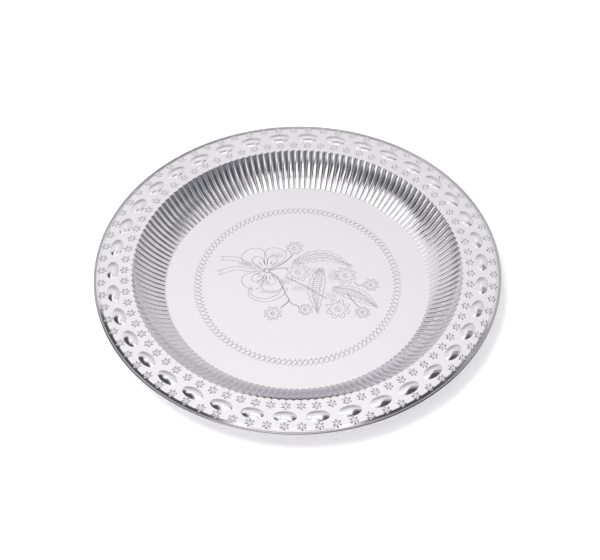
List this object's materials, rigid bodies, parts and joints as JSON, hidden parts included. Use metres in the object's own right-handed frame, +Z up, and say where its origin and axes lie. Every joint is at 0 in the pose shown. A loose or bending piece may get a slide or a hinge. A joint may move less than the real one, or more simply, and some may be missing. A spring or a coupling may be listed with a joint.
{
  "type": "round serving tray",
  "caption": "Round pressed steel serving tray: flat floor, fluted flaring wall, wide flat rim with raised oval bosses and stamped flowers, and a slim edge rolled round a wire; carries cups and plates.",
  "frame": {"origin": "middle of the underside of the floor, where the tray stands on a table", "axes": "+Z up along the tray's axis, +X to the right and -Y towards the viewer of the picture"},
  "size_m": [0.3996, 0.3996, 0.0284],
  "materials": {
    "tray_steel": "bright polished, with a faint circular grain on the floor",
    "wire_steel": "drawn wire"
  },
  "bodies": {
    "root": {"tray_pan": "tray_steel", "edge_wire": "wire_steel"}
  },
  "joints": []
}
